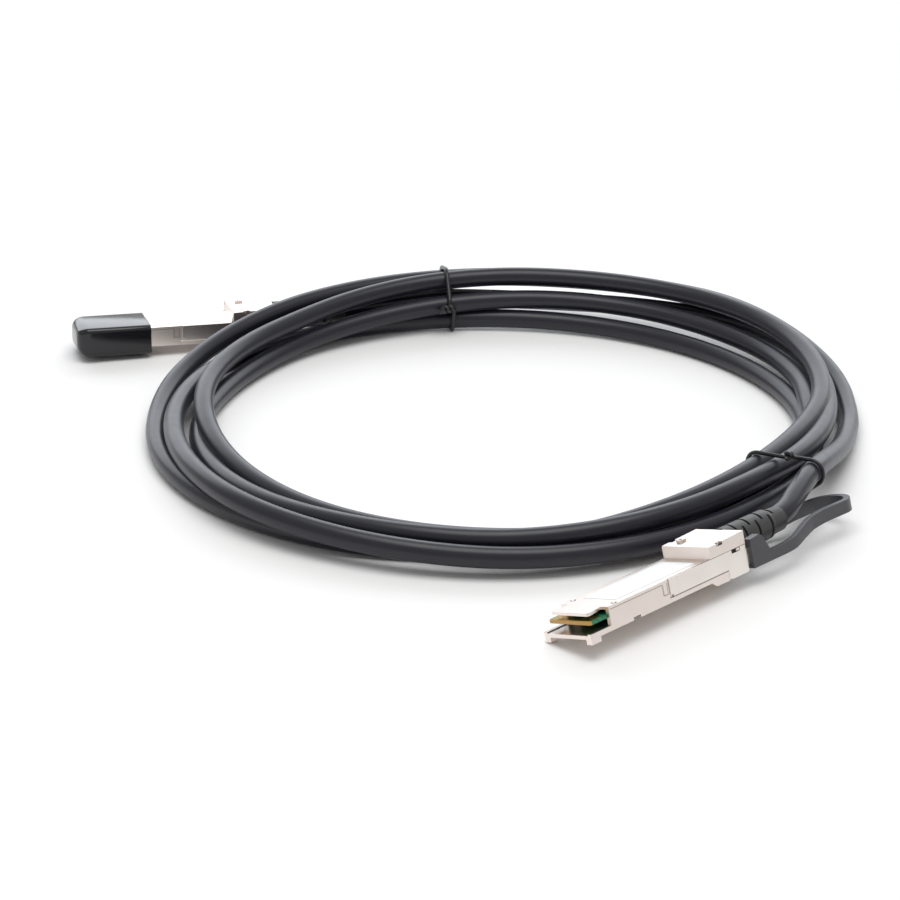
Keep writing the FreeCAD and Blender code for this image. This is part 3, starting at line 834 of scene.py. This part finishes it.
    def sides(self) -> None:
        """Dark plates of painted shade in the windows round the lugs, the seams of the cover and its tooth,
        and the slider's bend lines.
        """
        x0, x1, z0, z1 = self.window
        latch = Body.latch(self.module.end)
        for side in Side:
            label, way = side.name.lower(), side.value
            face, sheet = way * self.half, way * self.slider_half
            # A near-black plate deep in each window paints the shade there.
            floor = way * (self.half - self.window_depth)
            plate = self.oblong(x0, x1, floor, floor + way * self.window_sheet)
            self.slab(f"window_{label}", plate, z0, z1, SHADE_AND_JOINT_LINING)
            for place, (start, end, low, high) in enumerate(self.seams()):
                line = self.oblong(start, end, face - way * self.sunk, face + way * self.seam_rise)
                self.slab(f"seam_{label}_{place}", line, low, high, SHADE_AND_JOINT_LINING)
            line = self.oblong(*self.bend_x, sheet - way * self.sunk, sheet + way * self.bend_rise)
            self.slab(f"bend_line_{label}", line, *self.bend_z, SHEET, self.bend_ease, latch)

    def seams(self) -> list[tuple[float, float, float, float]]:
        """Where the cover meets the base at the sides.

        Returns:
            The start, end, underside and top of each stretch.
        """
        half_seam = self.seam / 2
        start, end = self.tooth_x
        return [(self.mouth_x, start, self.parting_z - half_seam, self.parting_z + half_seam),
                (start - self.seam, start, self.tooth_low, self.parting_z),
                (start, end, self.tooth_low, self.tooth_low + self.seam),
                (end - self.seam, end, self.tooth_low, self.parting_z)]

    def build(self) -> None:
        """Make every detail."""
        self.card_edge()
        self.stakes()
        self.hood_clip()
        self.hood_pocket()
        self.sides()
        log.info("%s trim", self.module.end.value)


# ---- cable ----

@dataclass
class Cable:
    """The jacketed cable: out of one strain relief, round the coil and into the other."""

    near: Module
    far: Module
    diameter: float = 6.8
    length: float = 3.1
    order: int = 3
    fineness: int = 8
    centre: Pair = (24.27, 33.2)
    station_step: float = 22.5
    points_a_turn: int = 24
    # The straight ends are places along a module.  The near lead has angle, radius and height in the coil,
    # the far lead has x and z in the far module, and the turns have radius and height at each station.
    near_straight: tuple[float, ...] = (86.0, 99.5)
    far_straight: tuple[float, ...] = (96.5, 86.0)
    near_lead: tuple[Point, ...] = (
        (-44.0, 124.2, 12.5), (-37.0, 119.7, 13.7), (-28.0, 116.4, 10.6), (-17.0, 115.4, 6.2),
        (-7.0, 116.0, 3.9), (1.0, 118.0, 3.5))
    far_lead: tuple[Pair, ...] = ((138.0, 10.4), (129.0, 10.0), (119.0, 9.4), (107.0, 8.7))
    turns: tuple[tuple[Pair, ...], ...] = (
        ((118.1, 3.4), (122.0, 8.0), (121.0, 14.6), (118.5, 14.6), (117.0, 15.0), (112.5, 16.0),
         (112.5, 14.5), (117.5, 7.4), (116.4, 3.4), (116.8, 3.4), (116.5, 3.4), (113.8, 3.4),
         (107.8, 3.4), (105.0, 8.5), (101.2, 11.2), (101.0, 12.0)),
        ((108.0, 13.0), (112.3, 16.0), (113.7, 17.2), (110.8, 17.7), (107.8, 18.2), (105.2, 16.5),
         (102.1, 13.2), (103.0, 11.0), (100.7, 9.9), (98.4, 5.9), (98.0, 3.6), (100.0, 3.4),
         (101.2, 3.4), (101.0, 3.4), (101.5, 3.8), (101.0, 3.4)),
        ((102.2, 3.4), (100.7, 3.4), (100.2, 3.4), (100.0, 3.8), (100.6, 4.2), (104.5, 3.4),
         (108.0, 3.4), (107.6, 6.4), (109.4, 7.6), (112.9, 8.9), (119.2, 9.6), (120.6, 7.6),
         (121.4, 6.0), (117.5, 5.6), (111.5, 5.5), (107.5, 4.2)),
        ((103.0, 9.0), (108.3, 8.0), (107.0, 9.5), (105.6, 10.8), (101.4, 11.2), (99.6, 9.0),
         (100.3, 5.0), (98.6, 3.6), (101.2, 3.4), (104.0, 3.6), (106.3, 4.8), (109.5, 7.2),
         (113.5, 8.4), (111.5, 10.5), (107.5, 12.0), (107.7, 11.0)),
        ((109.5, 10.0), (116.0, 9.0), (121.5, 8.2), (113.0, 8.0), (108.3, 8.6)))
    points: list[Vector] = field(init=False)
    piece: bpy.types.Object = field(init=False)
    line: list[Vector] = field(init=False)

    def coil_point(self, angle: float, radius: float, height: float) -> Vector:
        """A point of the coil, from its angle in degrees, radius and height."""
        (x, y), a = self.centre, math.radians(angle)
        return Vector((x + radius * math.cos(a), y + radius * math.sin(a), height)) * MM

    def station(self, angle: float) -> Pair:
        """The cable's radius and height in the coil, smoothed between its stations.

        Args:
            angle: how far round the coil, in degrees from its start.

        Returns:
            Radius and height, in millimetres.
        """
        stations = [station for turn in self.turns for station in turn]
        place = angle / self.station_step
        index = min(int(place), len(stations) - 2)
        t = place - index
        ends = (max(index - 1, 0), index, index + 1, min(index + 2, len(stations) - 1))
        value = []
        for p0, p1, p2, p3 in zip(*(stations[end] for end in ends)):
            value.append(0.5 * (2 * p1 + (p2 - p0) * t + (2 * p0 - 5 * p1 + 4 * p2 - p3) * t * t
                                + (3 * p1 - p0 - 3 * p2 + p3) * t ** 3))
        return value[0], max(value[1], self.diameter / 2)

    def coil(self) -> list[Vector]:
        """The turns of the coil, as points a little outside the circle that the spline then follows.

        Returns:
            The points, in metres.
        """
        step = 360.0 / self.points_a_turn
        last = self.station_step * (sum(len(turn) for turn in self.turns) - 1)
        # On points of radius 1 the spline reaches this radius, so the points stand that much further out.
        inset = (3 + math.cos(math.radians(step))) / 4
        points = []
        angle = step
        while angle < last:
            radius, height = self.station(angle)
            points.append(self.coil_point(angle, radius / inset, height))
            angle += step
        return points

    def route(self) -> list[Vector]:
        """The cable's line, from the near strain relief to the far one.

        Returns:
            Its points, in metres.
        """
        points = [self.near.at(x, 0, self.near.cable_height) for x in self.near_straight]
        points += [self.coil_point(*station) for station in self.near_lead]
        points += self.coil()
        points += [self.far.at(x, 0, z) for x, z in self.far_lead]
        points += [self.far.at(x, 0, self.far.cable_height) for x in self.far_straight]
        return points

    def build(self) -> bpy.types.Object:
        """Make the cable.

        Returns:
            The cable, a smooth curve with a round section.
        """
        self.points = self.route()
        curve = open_line("cable", self.points, self.diameter, self.order, self.fineness)
        self.piece = add_piece("cable", curve, JACKET, Body.ROOT)
        self.line = self.centreline()
        fill_out(curve, self.fineness)
        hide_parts("cable_coil", "near_lead", "far_lead")
        return self.piece

    def centreline(self) -> list[Vector]:
        """Read the cable's line from the spline, before it has a section.

        Returns:
            Its points, in metres.
        """
        bpy.context.view_layer.update()
        mesh = bpy.data.meshes.new_from_object(self.piece)
        line = [vertex.co.copy() for vertex in mesh.vertices]
        bpy.data.meshes.remove(mesh)
        return line

    def crossings(self, angle: float) -> list[Pair]:
        """Where the cable crosses the upright half-plane at an angle of the coil.

        Args:
            angle: the half-plane's angle, in degrees.

        Returns:
            The radius and height of each crossing, in millimetres.
        """
        centre = Vector((*self.centre, 0.0)) * MM
        a = math.radians(angle)
        out, side = Vector((math.cos(a), math.sin(a), 0)), Vector((-math.sin(a), math.cos(a), 0))
        found = []
        for first, second in zip(self.line, self.line[1:]):
            d0, d1 = (first - centre).dot(side), (second - centre).dot(side)
            if d0 * d1 <= 0 and d0 != d1:
                point = first.lerp(second, d0 / (d0 - d1)) - centre
                if point.dot(out) > 0:
                    found.append((point.dot(out) / MM, point.z / MM))
        return found


@dataclass
class TwistTie:
    """A sheathed wire round all the strands at one place, with its two ends twisted together."""

    name: str
    cable: Cable
    angle: float
    knot_towards: float
    side: float = -1.0
    wire: float = 1.6
    gap: float = 0.05
    steps: int = 96
    stretch: float = 0.8
    twists: float = 1.2
    twist_length: float = 4.6
    twist_radius: float = 0.52
    points_a_twist: int = 14
    splay: float = 1.3
    splay_from: float = 0.55
    splay_power: float = 1.5
    lean: float = 0.3
    lift: float = 0.7
    trim: int = 2
    order: int = 4
    fineness: int = 3

    def loop(self) -> tuple[list[Pair], Vector]:
        """The tight loop round the strands, from the knot round to the knot again.

        Returns:
            Radius and height of its points, in millimetres, and the way from its middle out to the knot.
        """
        circles = self.cable.crossings(self.angle)
        reach = self.cable.diameter / 2 + self.gap + self.wire / 2
        corners = []
        for index in range(self.steps):
            a = 2 * math.pi * index / self.steps
            c, s = math.cos(a), math.sin(a)
            r, z = max(circles, key=lambda circle: circle[0] * c + circle[1] * s)
            corners.append(Vector((r + reach * c, max(z + reach * s, self.wire / 2), 0)))
        middle = sum(corners, Vector()) / len(corners)
        points = []
        for first, second in zip(corners, corners[1:] + corners[:1]):
            cuts = max(1, round((second - first).length / self.stretch))
            points.extend(first.lerp(second, cut / cuts) for cut in range(cuts))
        way = math.radians(self.knot_towards)
        towards = Vector((math.cos(way), math.sin(way), 0))
        outward = [(point - middle).normalized() for point in points]
        start = max(range(len(points)), key=lambda index: outward[index].dot(towards))
        return [(point.x, point.y) for point in points[start:] + points[:start]], outward[start]

    def tail(self, root: Vector, axis: Vector, out: Vector, phase: float) -> list[Vector]:
        """One of the two twisted ends, a helix that leaves the knot and opens towards its tip.

        Args:
            root: the middle of the knot.
            axis: the way that the twist runs.
            out: a direction across it.
            phase: where the helix starts, in radians.

        Returns:
            Its points.
        """
        other = axis.cross(out)
        points = []
        count = int(self.points_a_twist * self.twists)
        for index in range(count + 1):
            share = index / count
            a = phase + 2 * math.pi * self.twists * share
            spread = self.splay * max(0.0, share - self.splay_from) ** self.splay_power
            radius = self.wire * (self.twist_radius + spread)
            along = axis * self.twist_length * share
            points.append(root + (along + out * radius * math.cos(a) + other * radius * math.sin(a)) * MM)
        return points

    def build(self) -> bpy.types.Object:
        """Make the tie.

        Returns:
            The tie, a round sheathed wire.
        """
        ring, knot_out = self.loop()
        out = (self.cable.coil_point(self.angle, 1, 0) - self.cable.coil_point(self.angle, 0, 0)).normalized()
        up = Vector((0, 0, 1))
        across = up.cross(out)
        lift = out * knot_out.x + up * knot_out.y
        points = []
        for index, (r, z) in enumerate(ring):
            drift = (index / (len(ring) - 1) - 0.5) * self.wire
            points.append(self.cable.coil_point(self.angle, r, z) + across * drift * MM)
        root = self.cable.coil_point(self.angle, *ring[0]) + lift * self.wire * self.lift * MM
        axis = (across * self.side + lift * self.lean).normalized()
        first, second = (self.tail(root, axis, lift, phase) for phase in (0.0, math.pi))
        line = first[::-1] + points[self.trim:-self.trim] + second
        curve = open_line(self.name, line, self.wire, self.order, self.fineness)
        fill_out(curve, self.fineness)
        piece = add_piece(f"{self.name}_wire", curve, WIRE_SHEATH, Body.ROOT)
        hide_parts(self.name)
        return piece


# ---- dust cap ----

@dataclass
class DustCap:
    """Soft glossy cap on the far module's nose, with a rounded closed end and a thin open mouth."""

    module: Module
    front: float = -3.0
    half: float = 10.325
    top: float = 9.65
    bottom: float = -1.15
    nose_r: float = 4.6
    nose_drop: Pair = (2.6, 3.4)
    edge_r: float = 1.7
    nose_edge_r: float = 0.6
    # The rim and the bore, from outside in: place along the module, inset and corner radius of each section.
    rim: tuple[Point, ...] = ((23.15, 0.0, 1.7), (23.4, 0.08, 1.7), (23.5, 0.3, 1.5), (23.5, 0.7, 1.1),
                              (23.2, 0.98, 0.6), (0.5, 0.98, 0.6), (-0.4, 1.4, 0.6), (-2.0, 3.6, 0.6))
    arc_steps: int = 8
    nose_steps: int = 10
    crease: float = 50.0

    def section(self, x: float, inset: Sequence[float], radius: float) -> list[Vector]:
        """A rounded oblong across the cap.

        Args:
            x: where along the module it lies.
            inset: how far it is drawn in at the sides, the top and the bottom.
            radius: its corner radius.

        Returns:
            Its points.
        """
        half, top, bottom = self.half - inset[0], self.top - inset[1], self.bottom + inset[2]
        centres = ((half - radius, top - radius, 0), (-half + radius, top - radius, 90),
                   (-half + radius, bottom + radius, 180), (half - radius, bottom + radius, 270))
        points = []
        for y, z, start in centres:
            for step in range(self.arc_steps + 1):
                a = math.radians(start + 90 * step / self.arc_steps)
                points.append(Vector((x, y + radius * math.cos(a), z + radius * math.sin(a))))
        return points

    def build(self) -> bpy.types.Object:
        """Make the cap.

        Returns:
            The cap.
        """
        rings = []
        for step in range(self.nose_steps + 1):
            a = math.pi / 2 * step / self.nose_steps
            away = 1 - math.sin(a)
            inset = [reach * away for reach in (self.nose_r, *self.nose_drop)]
            rings.append(self.section(self.front + self.nose_r * (1 - math.cos(a)), inset,
                                      self.edge_r + self.nose_edge_r * away))
        rings += [self.section(x, (inset,) * 3, radius) for x, inset, radius in self.rim]
        count = len(rings[0])
        points = [point for ring in rings for point in ring]
        faces: list[Sequence[int]] = [tuple(range(count)), tuple(range(len(points) - count, len(points)))]
        for row in range(0, len(points) - count, count):
            for index in range(count):
                after = (index + 1) % count
                faces.append((row + index, row + after, row + count + after, row + count + index))
        mesh = mesh_of("dust_cap", points, faces, self.module.place)
        smooth(mesh, self.crease)
        piece = add_piece("dust_cap_moulding", mesh, CAP, Body.FAR_CAP)
        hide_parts("far_dust_cap")
        return piece


# ---- studio ----

@dataclass(frozen=True)
class SoftBox:
    """An oblong light: where it stands and the point that it faces, in metres, and its power, in watts."""

    name: str
    at: Point
    towards: Point
    size: Pair
    power: float
    tint: Colour = (1.0, 1.0, 1.0)

    def build(self) -> None:
        """Hang the light and turn it to its point."""
        data = bpy.data.lights.new(self.name, "AREA")
        data.color = self.tint
        data.shape = "RECTANGLE"
        data.size, data.size_y = self.size
        data.energy = self.power
        light = bpy.data.objects.new(self.name, data)
        light.location = self.at
        light.rotation_euler = (Vector(self.towards) - Vector(self.at)).to_track_quat("-Z", "Y").to_euler()
        bpy.context.scene.collection.objects.link(light)


@dataclass
class Studio:
    """Pale floor, soft light and the camera."""

    camera_at: Point = (6.77, -841.0, 344.2)
    camera_tilt: float = 68.05
    camera_reach: Pair = (0.01, 50.0)
    lens: float = 110.88
    sensor: float = 36.0
    floor_size: float = 12.0
    floor_drop: float = 0.05
    sky: float = 0.5
    boxes: tuple[SoftBox, ...] = (
        SoftBox("top_box", (0.03, -0.1, 0.75), (0.03, -0.06, 0.0), (0.7, 0.5), 3.4),
        SoftBox("back_box", (0.0, 1.6, 0.75), (0.0, 0.1, 0.0), (3.4, 1.2), 24.5, (0.9, 0.94, 1.0)))

    def build(self) -> None:
        """Make the floor, the lights and the camera."""
        self.floor()
        self.lights()
        self.camera()

    def floor(self) -> None:
        """A wide pale sheet just under the cable."""
        half = self.floor_size / 2
        corners = [(-half, -half, 0), (half, -half, 0), (half, half, 0), (-half, half, 0)]
        mesh = bpy.data.meshes.new("floor")
        mesh.from_pydata(corners, [], [(0, 1, 2, 3)])
        sheet = bpy.data.objects.new("floor", mesh)
        bpy.context.scene.collection.objects.link(sheet)
        sheet.data.materials.append(PAPER.material())
        sheet.location.z = -self.floor_drop * MM

    def lights(self) -> None:
        """A dim even sky, a small soft box above the front of the coil and a wide one behind it."""
        world = bpy.data.worlds.new("studio")
        world.use_nodes = True
        sky = world.node_tree.nodes["Background"].inputs
        sky["Color"].default_value = (1.0, 1.0, 1.0, 1.0)
        sky["Strength"].default_value = self.sky
        bpy.context.scene.world = world
        for box in self.boxes:
            box.build()
        bpy.context.scene.view_settings.view_transform = "Standard"

    def camera(self) -> None:
        """The camera, in front of the near module and looking down on the coil."""
        data = bpy.data.cameras.new("view")
        data.lens = self.lens
        data.sensor_width = self.sensor
        data.clip_start, data.clip_end = self.camera_reach
        camera = bpy.data.objects.new("view", data)
        camera.location = Vector(self.camera_at) * MM
        camera.rotation_euler = (math.radians(self.camera_tilt), 0.0, 0.0)
        bpy.context.scene.collection.objects.link(camera)
        bpy.context.scene.camera = camera


def main() -> None:
    """Build the studio, the cable, its modules, its ties and its cap."""
    logging.basicConfig(level=logging.INFO, format="%(message)s")
    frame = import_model()
    Studio().build()
    modules = {end: Module(end, frame["record"], frame["nodes"]) for end in End}
    cable = Cable(modules[End.NEAR], modules[End.FAR])
    cable.build()
    log.info("cable with %d points", len(cable.points))
    ties = [TwistTie("front_tie", cable, angle=-37.0, knot_towards=66.0, wire=1.3).build(),
            TwistTie("back_tie", cable, angle=100.0, knot_towards=184.0, side=1.0).build()]
    log.info("ties %s", ", ".join(tie.name for tie in ties))
    for module in modules.values():
        module.build()
        ModuleTrim(module).build()
    cap = DustCap(modules[End.FAR]).build()
    log.info("cap %s", cap.name)


if __name__ == "__main__":
    main()
